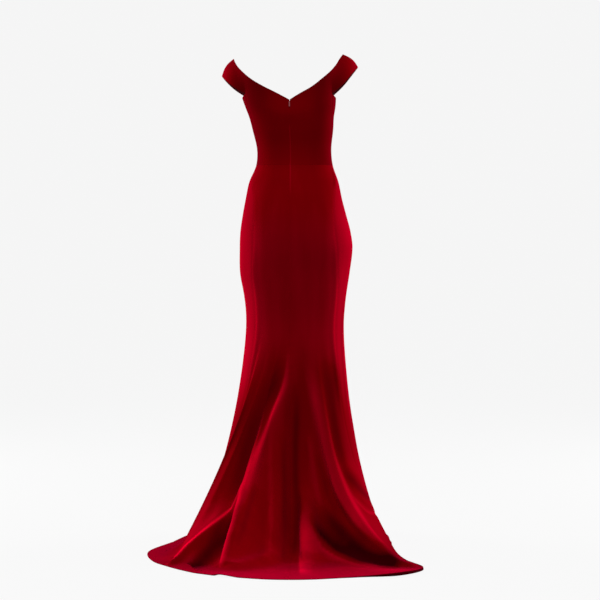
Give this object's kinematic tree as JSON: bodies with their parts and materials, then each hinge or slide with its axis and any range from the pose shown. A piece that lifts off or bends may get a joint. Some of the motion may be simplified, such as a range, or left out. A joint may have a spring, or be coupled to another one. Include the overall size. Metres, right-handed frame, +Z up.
{
  "type": "off-shoulder dress",
  "caption": "Floor-length off-shoulder velvet gown with V back, invisible back zip, fitted hip and flared skirt with a sweep train.",
  "frame": {"origin": "middle of the waist, at the height of the waist seam", "axes": "+Z up, the front of the gown faces -Y and its back and train +Y, +X on the side of the left arm"},
  "size_m": [0.7993, 0.889, 1.505],
  "materials": {
    "velvet": "crimson pile velvet, dark where it faces the viewer, bright at its edges",
    "zip_tape": "dark red woven polyester tape",
    "zip_metal": "zinc casting lacquered in a muted red"
  },
  "bodies": {
    "gown": {"bodice_back_left": "velvet", "bodice_back_right": "velvet", "bodice_side_left": "velvet", "bodice_side_right": "velvet", "bodice_front": "velvet", "skirt_back_left": "velvet", "skirt_back_right": "velvet", "skirt_side_left": "velvet", "skirt_side_right": "velvet", "skirt_front": "velvet", "zip_tape": "zip_tape", "zip_slider": "zip_metal"},
    "pull": {"zip_pull": "zip_metal"}
  },
  "joints": [
    {"name": "pull_swing", "type": "hinge", "parent": "gown", "child": "pull", "pos_m": [0.01535, 0.09318, 0.1893], "axis": [1, 0, 0], "range_deg": [0, 160]}
  ]
}
